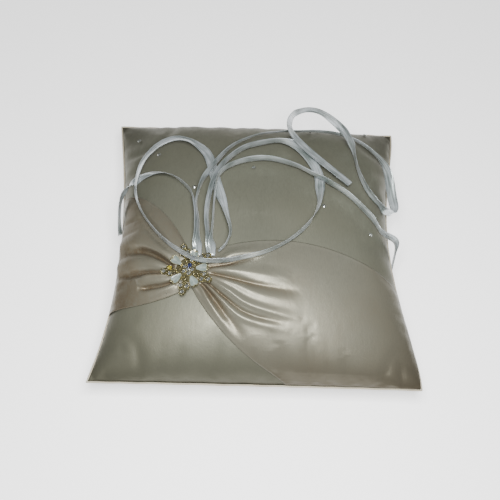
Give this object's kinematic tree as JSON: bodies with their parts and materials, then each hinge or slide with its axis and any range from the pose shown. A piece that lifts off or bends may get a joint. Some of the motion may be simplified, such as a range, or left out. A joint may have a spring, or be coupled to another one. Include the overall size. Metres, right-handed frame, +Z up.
{
  "type": "ring bearer pillow",
  "caption": "Square champagne satin ring pillow with a gathered sash pinned by a rhinestone flower brooch, pale satin ribbon streamers and loose crystals",
  "frame": {"origin": "on the floor under the middle of the pillow, centre of its footprint", "axes": "+X to the right seen from the front edge, +Y from the front edge (the one nearest the wide fan of the sash) to the back edge, +Z up out of the crown"},
  "size_m": [0.2023, 0.2086, 0.072],
  "materials": {
    "satin": "champagne satin",
    "filling": "matte polyester fibrefill",
    "ribbon": "silvery white satin",
    "gilt": "pale gold plate",
    "pearl": "pearly enamel",
    "crystal": "cut and foil backed"
  },
  "bodies": {
    "root": {"back_panel": "satin", "brooch_base": "gilt", "centre_stone_1": "crystal", "centre_stone_2": "crystal", "centre_stone_3": "crystal", "centre_stone_4": "crystal", "centre_stone_5": "crystal", "centre_stone_6": "crystal", "crystal_1": "crystal", "crystal_2": "crystal", "crystal_3": "crystal", "crystal_4": "crystal", "crystal_5": "crystal", "crystal_6": "crystal", "crystal_7": "crystal", "crystal_8": "crystal", "crystal_9": "crystal", "edge_seam": "satin", "fibrefill_insert": "filling", "front_panel": "satin", "gathered_sash": "satin", "petal_1": "pearl", "petal_2": "pearl", "petal_3": "pearl", "petal_4": "pearl", "petal_5": "pearl", "spray_setting_1": "gilt", "spray_setting_2": "gilt", "spray_setting_3": "gilt", "spray_setting_4": "gilt", "spray_setting_5": "gilt", "spray_stone_1_1": "crystal", "spray_stone_1_2": "crystal", "spray_stone_1_3": "crystal", "spray_stone_2_1": "crystal", "spray_stone_2_2": "crystal", "spray_stone_2_3": "crystal", "spray_stone_3_1": "crystal", "spray_stone_3_2": "crystal", "spray_stone_3_3": "crystal", "spray_stone_4_1": "crystal", "spray_stone_4_2": "crystal", "spray_stone_4_3": "crystal", "spray_stone_5_1": "crystal", "spray_stone_5_2": "crystal", "spray_stone_5_3": "crystal", "streamer_looped": "ribbon", "streamer_right": "ribbon", "streamer_round": "ribbon", "streamer_short": "ribbon"}
  },
  "joints": []
}
